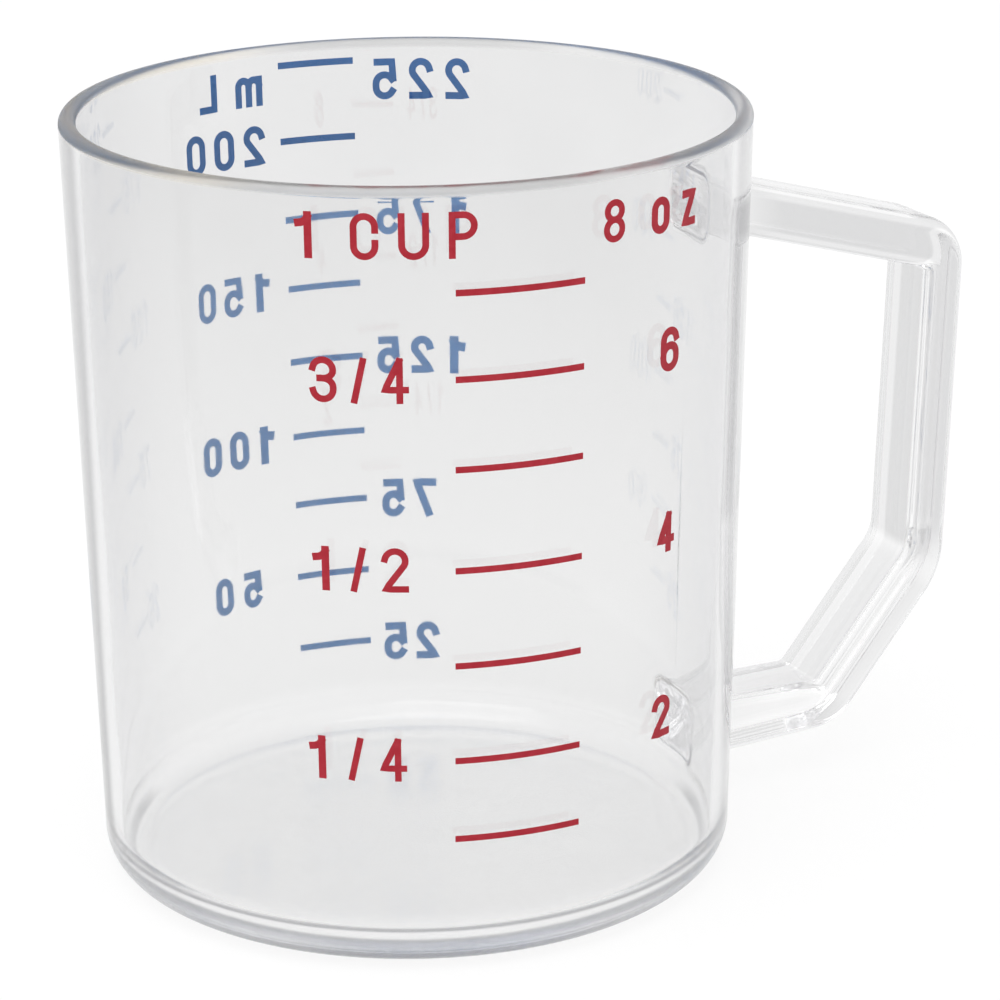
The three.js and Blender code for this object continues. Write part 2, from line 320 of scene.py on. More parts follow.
def root_rings(foot, heading, thickness):
    """Quarter-round between wall and strap, from the wall out: with a going from 0 to 90 degrees, the loop is
    spread by F(1 - sin a) and slid along the heading until it stands F(1 - cos a) off the wall."""
    a = np.linspace(0, np.pi / 2, ROOT_STEPS + 1)[:, None]
    spread = strap_loops(thickness) + (ROOT_FLARE * (1 - np.sin(a)))[..., None] * outwards
    aim = ROOT_FLARE * (1 - np.cos(a))
    rings = carried(np.repeat(foot[None], len(a), 0), np.repeat(heading[None], len(a), 0), spread)
    along = np.array([heading[0], 0, heading[1]])
    for _ in range(SLIDES):
        miss = gap_to_wall(rings) - aim
        slope = (gap_to_wall(rings + along * NUDGE) - gap_to_wall(rings)) / NUDGE
        rings = rings - (miss / slope)[..., None] * along
    return rings


upper_root = root_rings(STRAP_CORNERS[0], legs[0], TOP_BAR)
lower_root = root_rings(STRAP_CORNERS[-1], legs[-1], LOWER_END)[::-1]
print("largest miss from the wall:", np.abs(gap_to_wall(upper_root[0])).max().round(6), "mm")

# %% [markdown]
# ## One clear moulding
# Wall, floor and handle of the real cup are one piece of plastic, and light shows it: an inner skin where
# a handle only pokes into a wall would glint. So the cells under each root are left out of the cup's grid,
# and rings that lie on the wall lead from the edge of that opening to the root.

# %% The openings under the roots
ROOT_HALF_ANGLE = 13.5
APRON_SHARES = (0.35, 0.7)
first = int(np.searchsorted(columns, -ROOT_HALF_ANGLE))
last = int(np.searchsorted(columns, ROOT_HALF_ANGLE))


def opening(row, order):
    """Vertex numbers round one opening, in the strap's own order: upwards rows for 1, downwards for -1."""
    block = cup_index[row : row + ROOT_ROWS + 1, first : last + 1][::order]
    return np.concatenate([block[0, :-1], block[:-1, -1], block[-1, :0:-1], block[:0:-1, 0]])


upper_opening = opening(upper_row, 1)
lower_opening = opening(lower_row, -1)


def between(edge, ring, share):
    """Ring on the wall, part of the way from an opening's edge to a root: its angle and height are shared out
    and its radius is the wall's."""
    angle = np.arctan2(edge[:, 1], edge[:, 0]) * (1 - share) + np.arctan2(ring[:, 1], ring[:, 0]) * share
    height = edge[:, 2] * (1 - share) + ring[:, 2] * share
    radius = outer_radius(height)
    return np.stack([radius * np.cos(angle), radius * np.sin(angle), height], 1)


cup_points = cup_grid.reshape(-1, 3)
upper_apron = np.stack([between(cup_points[upper_opening], upper_root[0], s) for s in APRON_SHARES])
lower_apron = np.stack([between(cup_points[lower_opening], lower_root[-1], s) for s in APRON_SHARES[::-1]])
handle_rings = np.concatenate([upper_apron, upper_root, strap_rings, lower_root, lower_apron])
print("points round an opening:", len(upper_opening), "- rings in the handle:", len(handle_rings))


# %% Joining the faces
def quads(index, closed):
    """Four-cornered faces of a grid of vertex numbers, with the last column joined to the first."""
    ahead = np.roll(index, -1, 1) if closed else index[:, 1:]
    here = index if closed else index[:, :-1]
    return np.stack([here[:-1], ahead[:-1], ahead[1:], here[1:]], 2)


cup_faces = quads(cup_index, True)
kept = np.ones(cup_faces.shape[:2], bool)
kept[upper_row : upper_row + ROOT_ROWS, first:last] = False
kept[lower_row : lower_row + ROOT_ROWS, first:last] = False
handle_index = len(cup_points) + np.arange(handle_rings.shape[0] * handle_rings.shape[1])
handle_index = np.vstack([upper_opening, handle_index.reshape(handle_rings.shape[:2]), lower_opening])
centres = np.array([[0, 0, 0], [0, 0, FLOOR]])
points = np.concatenate([cup_points, handle_rings.reshape(-1, 3), centres])
under, over = len(points) - 2, len(points) - 1
ring_low, ring_high = cup_index[0], cup_index[-1]
fan_low = np.stack([np.full(len(ring_low), under), np.roll(ring_low, -1), ring_low], 1)
fan_high = np.stack([np.full(len(ring_high), over), ring_high, np.roll(ring_high, -1)], 1)
four_sided = np.concatenate([cup_faces[kept], quads(handle_index, True).reshape(-1, 4)])
three_sided = np.concatenate([fan_low, fan_high])
print("faces:", len(four_sided), "four-sided and", len(three_sided), "three-sided")


# %% A mesh from arrays
def make_piece(name, points, face_groups, smooth):
    """Piece from points in millimetres and groups of faces with equal corner counts. Unused points go."""
    used, renumbered = np.unique(np.concatenate([g.ravel() for g in face_groups]), return_inverse=True)
    splits = np.cumsum([g.size for g in face_groups])[:-1]
    groups = [r.reshape(g.shape) for r, g in zip(np.split(renumbered, splits), face_groups)]
    mesh = bpy.data.meshes.new(name)
    mesh.from_pydata((points[used] * MM).tolist(), [], [f for g in groups for f in g.tolist()])
    mesh.polygons.foreach_set("use_smooth", np.full(len(mesh.polygons), smooth))
    mesh.update()
    piece = bpy.data.objects.new(name, mesh)
    bpy.context.scene.collection.objects.link(piece)
    return piece


moulding = make_piece("clear_moulding", points, [four_sided, three_sided], True)
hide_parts("cup_body", "handle")
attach(moulding, "root")
print("clear moulding:", len(moulding.data.vertices), "points,", len(moulding.data.polygons), "faces")

# %% [markdown]
# ## Printed lines
# The marks are films of ink a twentieth of a millimetre thick, pressed on to the wall by a soft pad. Each
# is a flat ribbon bent round the cup. The frame holds the lines as solids, so their ends and heights are
# measured there. The film reaches a little into the wall, as ink that wets a surface leaves no air behind.

# %% A ribbon of ink on the wall
INK_RISE = 0.06
INK_DEPTH = 0.03
RUN_STEP = 0.5


def on_cup(across_wall, heights, rise):
    """Points on the wall: an angle in radians and a height, lifted off the wall by the rise."""
    radius = wall_line(heights) + rise
    return np.stack([radius * np.cos(across_wall), radius * np.sin(across_wall), heights], -1)


def edges_of(line, closed):
    """Sideways step at each point of a centreline, to the left: the mitre of its two neighbours, so that a
    ribbon keeps its width round a corner."""
    ahead = np.roll(line, -1, 0) - line
    behind = line - np.roll(line, 1, 0)
    if not closed:
        ahead[-1] = behind[-1]
        behind[0] = ahead[0]
    ahead = ahead / np.linalg.norm(ahead, axis=1)[:, None]
    behind = behind / np.linalg.norm(behind, axis=1)[:, None]
    left = np.stack([-ahead[:, 1], ahead[:, 0]], 1)
    mitre = left + np.stack([-behind[:, 1], behind[:, 0]], 1)
    mitre = mitre / np.linalg.norm(mitre, axis=1)[:, None]
    reach = np.clip(np.sum(mitre * left, 1), 0.75, 1)
    return mitre / reach[:, None]


def ribbon(line, width, closed, start_angle, radius, sink):
    """Ribbon of ink along a centreline drawn flat: points of its four edges for each place, and its faces."""
    side = edges_of(line, closed) * width / 2
    flat = np.stack([line + side, line - side, line - side, line + side], 1)
    rise = np.array([INK_RISE - sink, INK_RISE - sink, -INK_DEPTH, -INK_DEPTH])
    points = on_cup(start_angle + flat[..., 0] / radius, flat[..., 1], rise)
    index = np.arange(points.shape[0] * 4).reshape(-1, 4)
    rows = np.vstack([index, index[:1]]) if closed else index
    faces = quads(rows, True).reshape(-1, 4)
    if not closed:
        faces = np.concatenate([faces, index[:1, ::-1], index[-1:]])
    return points.reshape(-1, 3), faces


def run(*corners):
    """Straight runs through corners, cut into short steps so that they bend with the wall."""
    corners = np.array(corners, float)
    steps = np.ceil(np.linalg.norm(np.diff(corners, axis=0), axis=1) / RUN_STEP).astype(int)
    parts = [np.linspace(a, b, n + 1)[:-1] for a, b, n in zip(corners[:-1], corners[1:], steps)]
    return np.concatenate([*parts, corners[-1:]])


print("film of ink:", INK_RISE, "mm proud of the wall")


# %% Lines from the frame
def printed_line(name):
    """Line as long and as high as the frame's solid of that name, at the same angle and height."""
    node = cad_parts[name]
    spots = np.empty(len(node.data.vertices) * 3)
    node.data.vertices.foreach_get("co", spots)
    spots = spots.reshape(-1, 3) / MM
    angle = np.arctan2(spots[:, 1], spots[:, 0])
    low, high = spots[:, 2].min(), spots[:, 2].max()
    middle = (low + high) / 2
    radius = wall_line(middle)
    line = run((0, middle), ((angle.max() - angle.min()) * radius, middle))
    points, faces = ribbon(line, high - low, False, angle.min(), radius, 0.0)
    piece = make_piece("printed_" + name, points, [faces], False)
    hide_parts(name)
    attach(piece, "root")
    return piece


ounce_lines = [printed_line(n) for n in sorted(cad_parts) if n.startswith("ounce_line")]
millilitre_lines = [printed_line(n) for n in sorted(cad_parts) if n.startswith("millilitre_line")]
print("printed lines:", len(ounce_lines), "red and", len(millilitre_lines), "blue")

# %% [markdown]
# ## Figures and units
# The figures are a narrow gothic of even stroke, as on many measures. A font would bring its own shapes
# and faces, so each figure is drawn here as strokes: straight runs and bows in a box of the stroke's
# middle line. A stroke is then carried round the wall as the lines are.

# %% Bows and bowls
BOW_STEPS = 14
SAME_PLACE = 0.02


def bow(x, y, half_width, half_height, start, end):
    """Part of an ellipse about a point, from one angle to another in degrees."""
    turn = np.radians(np.linspace(start, end, max(3, int(BOW_STEPS * abs(end - start) / 180) + 1)))
    return np.stack([x + half_width * np.cos(turn), y + half_height * np.sin(turn)], 1)


def joined(*parts):
    """One centreline from several, with points that fall together left out."""
    line = np.concatenate(parts)
    apart = np.linalg.norm(np.diff(line, axis=0), axis=1) > SAME_PLACE
    return line[np.concatenate([[True], apart])]


def ring(w, low, high):
    """Closed upright ring between two heights: round ends of half the width, straight sides between."""
    r = w / 2
    e = min(r * 1.05, (high - low) / 2)
    sides = run((w, low + e), (w, high - e))
    back = run((0, high - e), (0, low + e))
    line = joined(sides, bow(r, high - e, r, e, 0, 180), back, bow(r, low + e, r, e, 180, 360))
    return line[:-1]


print("points in a ring 2 mm wide and 4 mm high:", len(ring(2.0, 0.0, 4.0)))


# %% Strokes of the figures
def figure_strokes(sign, w, h):
    """Strokes of one sign in a box w wide and h high, each with True where it closes on itself."""
    r = w / 2
    waist = 0.53 * h
    if sign == "0" or sign == "o":
        return [(ring(w, 0, h), True)]
    if sign == "1":
        return [(run((w, 0), (w, h)), False), (bow(0, h, w, 0.2 * h, 272, 345), False)]
    if sign == "2":
        hook = bow(r, h - r, r, r, 170, -28)
        return [(joined(hook, run(hook[-1], (0.02 * w, 0)), run((0.02 * w, 0), (w, 0))), False)]
    if sign == "3":
        top = joined(bow(r, h - r, r, r, 170, 0), bow(r, waist + r * 0.8, r, r * 0.8, 0, -90))
        low = joined(bow(r, waist - r * 0.85, r, r * 0.85, 90, 0), bow(r, r, r, r, 0, -170))
        return [(joined(top, run((r, waist), (0.35 * w, waist))), False), (low, False)]
    if sign == "4":
        slant = run((0.7 * w, h), (0, 0.27 * h), (w, 0.27 * h))
        return [(slant, False), (run((0.72 * w, h), (0.72 * w, 0)), False)]
    if sign == "5":
        bowl = joined(bow(r, 0.62 * h - r, r, r, 150, 0), bow(r, r, r, r, 0, -152))
        return [(run((0.92 * w, h), (0.06 * w, h), (0, 0.52 * h)), False), (bowl, False)]
    if sign == "6":
        hook = joined(bow(r, h - r, r, r, 12, 180), bow(r, r, r, r, 180, 360))
        return [(joined(hook, bow(r, 0.6 * h - r, r, r, 0, 172)), False)]
    if sign == "7":
        return [(run((0, h), (w, h), (0.28 * w, 0)), False)]
    if sign == "8":
        upper = ring(0.92 * w, waist, h) + [0.04 * w, 0]
        return [(ring(w, 0, waist), True), (upper, True)]
    return letter_strokes(sign, w, h)


def letter_strokes(sign, w, h):
    """Strokes of the unit letters and the fraction's slash, in the same way."""
    r = w / 2
    if sign == "/":
        return [(run((0, 0), (w, h)), False)]
    if sign == "C":
        top = joined(run((w, 0.66 * h), (w, h - r)), bow(r, h - r, r, r, 0, 180))
        return [(joined(top, bow(r, r, r, r, 180, 360), run((w, r), (w, 0.34 * h))), False)]
    if sign == "U":
        return [(joined(run((0, h), (0, r)), bow(r, r, r, r, 180, 360), run((w, r), (w, h))), False)]
    if sign == "P":
        e = 0.27 * h
        top, waist = run((0, h), (w - e, h)), run((w - e, h - 2 * e), (0, h - 2 * e))
        bowl = joined(top, bow(w - e, h - e, e, e, 90, -90), waist)
        return [(run((0, 0), (0, h)), False), (bowl, False)]
    if sign == "z":
        return [(run((0, h), (w, h), (0, 0), (w, 0)), False)]
    if sign == "m":
        q = w / 4
        first_arch = joined(bow(q, h - q, q, q, 165, 0), run((2 * q, h - q), (2 * q, 0)))
        second_arch = joined(bow(3 * q, h - q, q, q, 165, 0), run((w, h - q), (w, 0)))
        return [(run((0, 0), (0, h)), False), (first_arch, False), (second_arch, False)]
    return [(run((0, h), (0, 0), (w, 0)), False)]


print("strokes in a 4:", len(figure_strokes("4", 2.0, 4.0)))

# %% [markdown]
# A label is given by where it starts and ends round the cup and by its height. The signs share that length
# between them with even gaps, so the spacing follows from the sizes and not from a table. Strokes that
# stop free run on by half their width, and each further stroke lies a hair lower than the one before. The
# red figures beside the handle and the lower blue ones have a heavier stroke than the rest of their colour.

# %% Setting a label
RED_STROKE = 0.63
SIDE_STROKE = 0.76
BLUE_STROKE = 0.75
LOW_BLUE_STROKE = 0.86
ONE_SHARE = 1.15
AFTER_ONE = 1.4
SPACE_SHARE = 0.6
SINK_STEP = 0.004
SINK_LAYERS = 6
SHAPE = {"1": 0.25, "/": 0.22, "C": 0.52, "U": 0.58, "P": 0.54, "m": 1.02, "L": 0.49, "o": 0.58, "z": 0.47}
FIGURE_SHAPE = 0.51
SMALL_LETTERS = {"o": 0.96, "z": 0.95, "m": 0.81}


def lengthened(line, extra):
    """Centreline whose two free ends run on by a given length."""
    head = line[0] - line[1]
    tail = line[-1] - line[-2]
    start = line[0] + head / np.linalg.norm(head) * extra
    end = line[-1] + tail / np.linalg.norm(tail) * extra
    return np.concatenate([start[None], line[1:-1], end[None]])


def label(name, text, start, end, low, high, stroke):
    """Label on the wall between two angles in degrees and two heights. The gap after a 1 is wider, and a
    space adds most of another gap."""
    radius = wall_line((low + high) / 2)
    signs = text.replace(" ", "")
    strokes = np.array([stroke * ONE_SHARE if s == "1" else stroke for s in signs])
    heights = np.array([(high - low) * SMALL_LETTERS.get(s, 1.0) for s in signs])
    middles = np.array([SHAPE.get(s, FIGURE_SHAPE) for s in signs]) * (heights - strokes)
    places = np.array([AFTER_ONE if s == "1" else 1.0 for s in signs[:-1]])
    if " " in text:
        places[0] += SPACE_SHARE
    spare = np.radians(end - start) * radius - np.sum(middles + strokes)
    gaps = places * spare / max(places.sum(), 1)
    lefts = np.concatenate([[0], np.cumsum((middles + strokes)[:-1] + gaps)])
    points, faces, count, sink = [], [], 0, 0.0
    for sign, left, width, height, middle in zip(signs, lefts, strokes, heights, middles):
        for line, closed in figure_strokes(sign, middle, height - width):
            line = line if closed else lengthened(line, width / 2)
            line = line + [left + width / 2, low + width / 2]
            spots, sides = ribbon(line, width, closed, np.radians(start), radius, sink)
            points.append(spots)
            faces.append(sides + count)
            count += len(spots)
            sink = (sink + SINK_STEP) % (SINK_LAYERS * SINK_STEP)
    piece = make_piece(name, np.concatenate(points), [np.concatenate(faces)], False)
    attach(piece, "root")
    return piece


print("stroke widths:", RED_STROKE, "and", BLUE_STROKE, "mm")

# %% Red labels on the front
red_labels = [
    label("label_one_cup", "1 CUP", -132.3, -104.0, 71.60, 76.00, RED_STROKE),
    label("label_8", "8", -82.8, -78.9, 71.48, 75.58, RED_STROKE),
    label("label_oz", "oz", -73.1, -62.4, 71.30, 75.00, SIDE_STROKE),
    label("label_6", "6", -70.3, -65.0, 57.54, 61.90, SIDE_STROKE),
    label("label_4", "4", -70.0, -64.4, 39.30, 43.35, SIDE_STROKE),
    label("label_2", "2", -70.3, -64.1, 20.10, 24.50, SIDE_STROKE),
    label("label_three_quarters", "3/4", -130.6, -114.9, 57.91, 62.31, RED_STROKE),
    label("label_half", "1/2", -131.1, -115.4, 39.38, 43.79, RED_STROKE),
    label("label_quarter", "1/4", -132.7, -116.2, 20.12, 24.54, RED_STROKE),
]
print("red labels:", len(red_labels))

# %% Blue labels on the back
blue_labels = [
    label("label_225", "225", 53.7, 71.5, 71.53, 75.95, BLUE_STROKE),
    label("label_175", "175", 54.1, 71.4, 56.86, 61.08, BLUE_STROKE),
    label("label_125", "125", 54.5, 71.9, 41.32, 45.55, LOW_BLUE_STROKE),
    label("label_75", "75", 60.6, 71.5, 24.98, 29.31, LOW_BLUE_STROKE),
    label("label_25", "25", 60.3, 71.6, 8.20, 12.60, LOW_BLUE_STROKE),
    label("label_ml", "mL", 92.6, 106.1, 71.85, 75.85, BLUE_STROKE),
    label("label_200", "200", 92.5, 109.7, 65.45, 69.75, BLUE_STROKE),
    label("label_150", "150", 93.2, 109.8, 49.65, 53.90, BLUE_STROKE),
    label("label_100", "100", 93.4, 110.3, 32.60, 36.85, LOW_BLUE_STROKE),
    label("label_50", "50", 97.5, 109.3, 16.60, 20.80, LOW_BLUE_STROKE),
]
print("blue labels:", len(blue_labels))

# %% [markdown]
# ## Helpers for materials
# Each material is a small tree of nodes. Noise on Object coordinates makes it uneven, a Map Range node
# turns a value into a soft share, and a Mix node blends two colours by that share. These steps come back
# many times, so each has a function here.


# %% Helpers for materials
def new_material(name):
    """Material with an empty tree, its Principled shader joined to the output."""
    material = bpy.data.materials.new(name)
    material.use_nodes = True
    tree = material.node_tree
    tree.nodes.clear()
    shader = tree.nodes.new("ShaderNodeBsdfPrincipled")
    output = tree.nodes.new("ShaderNodeOutputMaterial")
    tree.links.new(shader.outputs["BSDF"], output.inputs["Surface"])
    return material, tree, shader, output


def noise_on_object(tree, scale, detail):
    """Noise on Object coordinates, so many waves to the metre."""
    place = tree.nodes.new("ShaderNodeTexCoord")
    noise = tree.nodes.new("ShaderNodeTexNoise")
    noise.inputs["Scale"].default_value = scale
    noise.inputs["Detail"].default_value = detail
    tree.links.new(place.outputs["Object"], noise.inputs["Vector"])
    return noise.outputs["Fac"]


def spread_over(tree, value, low, high, start=0.3, stop=0.7):
    """Value between start and stop carried over to low and high, with soft ends."""
    node = tree.nodes.new("ShaderNodeMapRange")
    node.interpolation_type = "SMOOTHSTEP"
    for socket, number in (("From Min", start), ("From Max", stop), ("To Min", low), ("To Max", high)):
        node.inputs[socket].default_value = number
    tree.links.new(value, node.inputs["Value"])
    return node.outputs["Result"]


def mixed(tree, share, first_colour, second_colour):
    """Colour between two, by a share from 0 to 1. Sockets 6 and 7 of a Mix node are its two colours."""
    node = tree.nodes.new("ShaderNodeMix")
    node.data_type = "RGBA"
    for socket, colour in ((node.inputs[6], first_colour), (node.inputs[7], second_colour)):
        if isinstance(colour, tuple):
            socket.default_value = (*colour, 1.0)
        else:
            tree.links.new(colour, socket)
    tree.links.new(share, node.inputs[0])
    return node.outputs[2]


def worked_out(tree, operation, *values):
    """Result of a Math node whose inputs are sockets or plain numbers."""
    node = tree.nodes.new("ShaderNodeMath")
    node.operation = operation
    for socket, value in zip(node.inputs, values):
        if isinstance(value, float):
            socket.default_value = value
        else:
            tree.links.new(value, socket)
    return node.outputs[0]


def axes_of(tree, kind):
    """X, Y and Z of one kind of texture coordinate, such as Object or Normal."""
    place = tree.nodes.new("ShaderNodeTexCoord")
    parts = tree.nodes.new("ShaderNodeSeparateXYZ")
    tree.links.new(place.outputs[kind], parts.inputs[0])
    return parts.outputs


print("helpers for materials are ready")

# %% [markdown]
# ## Clear plastic
# Polycarbonate bends light more than glass does and is faintly grey. A Principled shader with full
# transmission shows that, and its base colour tints the light at each skin. In the photograph the front is
# a little grey, while the back is nearly clear at the floor and greyer towards the rim, so the tint goes
# by the place on the cup: that part is painted light and shade. Slow noise mixes in the streaks that
# flowing plastic leaves.

# %% Tint of the wall
NEAR_TINT = (0.915, 0.915, 0.915)
FAR_LOW_PAINTED_LIGHT_TINT = (0.935, 0.935, 0.933)
FAR_HIGH_PAINTED_SHADE_TINT = (0.785, 0.785, 0.787)
FLOW_TINT = (0.90, 0.90, 0.90)
clear, tree, shader, output = new_material("clear_plastic")
shader.inputs["Transmission Weight"].default_value = 1.0
shader.inputs["IOR"].default_value = 1.585
place = axes_of(tree, "Object")
rise = spread_over(tree, place["Z"], 0.0, 1.0, 0.0, CUP_HEIGHT * MM)
far = spread_over(tree, place["Y"], 0.0, 1.0, -12 * MM, 12 * MM)
flow = spread_over(tree, noise_on_object(tree, 40, 2), 0.0, 0.3)
# painted light and shade: the back is tinted nearly clear at the floor and greyer towards the rim
tint = mixed(tree, far, NEAR_TINT, mixed(tree, rise, FAR_LOW_PAINTED_LIGHT_TINT, FAR_HIGH_PAINTED_SHADE_TINT))
tint = mixed(tree, flow, tint, FLOW_TINT)
print("tint at the front:", NEAR_TINT[0], "and at the back:", FAR_LOW_PAINTED_LIGHT_TINT[0], "to", FAR_HIGH_PAINTED_SHADE_TINT[0])

# %% [markdown]
# The strap gets painted shade: its flat sides are tinted as even grey bands, and its rounded edges are left
# light as painted highlights. The surface's normal tells them apart: its square along an axis is 1 on a flat
# that looks along that axis and falls off round the edge. On the brace and the lower bar the inner faces get
# the painted grey instead and the sides are clear. Wall and strap are one mesh, so the strap is picked out by
# its distance along X.

# %% Tint of the strap
SIDE_SHADE_TINT = (0.71, 0.71, 0.715)
LOW_SIDE_SHADE_TINT = (0.94, 0.94, 0.94)
FACE_SHADE_TINT = (0.70, 0.70, 0.702)
LOW_FACE_SHADE_TINT = (0.85, 0.85, 0.852)
ROUND_HIGHLIGHT_TINT = (1.0, 1.0, 1.0)
strap = spread_over(tree, place["X"], 0.0, 1.0, 36 * MM, 41 * MM)
low = spread_over(tree, place["Z"], 1.0, 0.0, 21 * MM, 26 * MM)
looks = axes_of(tree, "Normal")


def flat_towards(tree, axis):
    """1 where the surface looks straight along an axis or against it, 0 from about 25 degrees off."""
    return spread_over(tree, worked_out(tree, "MULTIPLY", axis, axis), 0.0, 1.0, 0.82, 0.99)


def inner_face(tree, heading):
    """1 where the surface looks into the finger gap from a low leg of the strap: by the dot product of its
    normal with the leg's heading turned by 90 degrees."""
    along = worked_out(tree, "MULTIPLY", looks["X"], heading[1])
    inwards = worked_out(tree, "MULTIPLY_ADD", looks["Z"], -heading[0], along)
    return worked_out(tree, "MULTIPLY", low, spread_over(tree, inwards, 0.0, 1.0, 0.9, 0.99))


# painted shade on the strap: grey flat sides and faces, light rounded edges as painted highlights
side_shade_tint = mixed(tree, low, SIDE_SHADE_TINT, LOW_SIDE_SHADE_TINT)
strap_shade_tint = mixed(tree, flat_towards(tree, looks["Y"]), ROUND_HIGHLIGHT_TINT, side_shade_tint)
strap_shade_tint = mixed(tree, flat_towards(tree, looks["X"]), strap_shade_tint, FACE_SHADE_TINT)
brace, lower_bar = legs[2:]
for heading in (brace, lower_bar):
    strap_shade_tint = mixed(tree, inner_face(tree, heading), strap_shade_tint, LOW_FACE_SHADE_TINT)
tint = mixed(tree, strap, tint, strap_shade_tint)
print("tint of the strap's sides:", SIDE_SHADE_TINT[0], "and of its rounded edges:", ROUND_HIGHLIGHT_TINT[0])

# %% [markdown]
# Seen flat on, clear plastic passes nearly all the light. Where it turns away from the eye, a painted shade
# darkens the tint and draws the outline as a grey band. The Facing value of a Layer Weight node
# finds these places. The darkest part of the band belongs to the outer skin alone, which is known by its
# distance from the axis. It narrows downwards and is painted weaker beside the handle, as in the photograph.

# %% Tint of the outline
EDGE_SHADE_TINT = (0.72, 0.72, 0.735)
OUTLINE_SHADE_TINT = (0.27, 0.27, 0.28)
LOW_OUTLINE_SHADE_TINT = (0.10, 0.10, 0.105)
HANDLE_SIDE_OUTLINE_SHADE_TINT = (0.42, 0.42, 0.43)
NARROWING = 0.07
facing = tree.nodes.new("ShaderNodeLayerWeight").outputs["Facing"]
turned_away = spread_over(tree, facing, 0.0, 1.0, 0.25, 1.0)
outline = spread_over(tree, worked_out(tree, "MULTIPLY_ADD", rise, NARROWING, facing), 0.0, 1.0, 0.76, 0.84)
squares = [worked_out(tree, "MULTIPLY", place[axis], place[axis]) for axis in "XY"]
from_axis = worked_out(tree, "SQRT", worked_out(tree, "ADD", *squares))
upright = worked_out(tree, "MULTIPLY_ADD", place["Z"], -np.tan(LEAN), from_axis)
outer_skin = spread_over(tree, upright, 0.0, 1.0, (BASE_RADIUS - 1.0) * MM, (BASE_RADIUS - 0.7) * MM)
to_handle = spread_over(tree, place["X"], 0.0, 1.0, 0.0, 20 * MM)
# painted shade of the outline: darker low down, weaker beside the handle
drawn = mixed(tree, rise, LOW_OUTLINE_SHADE_TINT, OUTLINE_SHADE_TINT)
drawn = mixed(tree, to_handle, drawn, HANDLE_SIDE_OUTLINE_SHADE_TINT)
drawn = mixed(tree, strap, drawn, EDGE_SHADE_TINT)
# painted shade where the surface turns away from the eye
tint = mixed(tree, turned_away, tint, EDGE_SHADE_TINT)
tint = mixed(tree, outline, tint, mixed(tree, outer_skin, tint, drawn))
print("tint of the outline:", LOW_OUTLINE_SHADE_TINT[0], "below to", OUTLINE_SHADE_TINT[0], "above")

# %% [markdown]
# The two ends of the wall differ from it. The floor is left clear, and the rounded corner under the wall
# gets a painted shade, a darker line round the front and the sides. Front and back are told apart by the
# distance along the photograph's line of sight over the ground.

# %% Tint of the floor
FLOOR_TINT = (1.0, 1.0, 1.0)
CORNER_SHADE_TINT = (0.25, 0.25, 0.265)
SIGHT = (0.42, 0.91)
on_corner = spread_over(tree, from_axis, 0.0, 1.0, 30.2 * MM, 30.8 * MM)
near_floor = spread_over(tree, place["Z"], 1.0, 0.0, 1.0 * MM, 2.4 * MM)
sideways = worked_out(tree, "MULTIPLY", place["X"], SIGHT[0])
backwards = worked_out(tree, "MULTIPLY_ADD", place["Y"], SIGHT[1], sideways)
not_back = spread_over(tree, backwards, 1.0, 0.0, 4 * MM, 12 * MM)
# painted shade: a dark line on the base corner, at the front and sides only
corner_shade_share = worked_out(tree, "MULTIPLY", on_corner, worked_out(tree, "MULTIPLY", near_floor, not_back))
bottom = mixed(tree, corner_shade_share, FLOOR_TINT, CORNER_SHADE_TINT)
print("tint of the corner:", CORNER_SHADE_TINT[0])

# %% [markdown]
# The lip gets a painted grey shade, most of all at its front and back, where the photograph shows its
# heaviest line. Light that runs along inside the wall brings some blue from the print to the lip on the side
# away from the handle, so the painted tint there is warm, to keep the lip grey.

# %% Tint of the lip
LIP_SHADE_TINT = (0.92, 0.915, 0.905)
WARM_LIP_SHADE_TINT = (0.97, 0.88, 0.72)
LIP_LINE_SHADE_TINT = (0.58, 0.58, 0.58)
front_or_back = worked_out(tree, "ABSOLUTE", backwards)
away = spread_over(tree, place["X"], 1.0, 0.0, -12 * MM, 4 * MM)
# painted shade on the lip, heaviest at the front and back
lip_shade_tint = mixed(tree, away, LIP_SHADE_TINT, WARM_LIP_SHADE_TINT)
lip_shade_line = spread_over(tree, front_or_back, 0.0, 1.0, 27 * MM, 32 * MM)
lip_shade_tint = mixed(tree, lip_shade_line, lip_shade_tint, LIP_LINE_SHADE_TINT)
on_lip = spread_over(tree, place["Z"], 0.0, 1.0, 77.2 * MM, 77.8 * MM)
above_floor = spread_over(tree, place["Z"], 0.0, 1.0, 3 * MM, 7 * MM)
tint = mixed(tree, above_floor, bottom, mixed(tree, on_lip, tint, lip_shade_tint))
tree.links.new(tint, shader.inputs["Base Color"])
print("tint of the lip:", LIP_LINE_SHADE_TINT[0], "to", LIP_SHADE_TINT[0])

# %% [markdown]
# The mould's polish shows on the wall, where only a fine haze from handling dulls it. The floor and the
# corner below it are lightly frosted, and the lip is satin, as if rounded off after moulding. Absorption
# inside the plastic makes the long ways through it a little greyer.

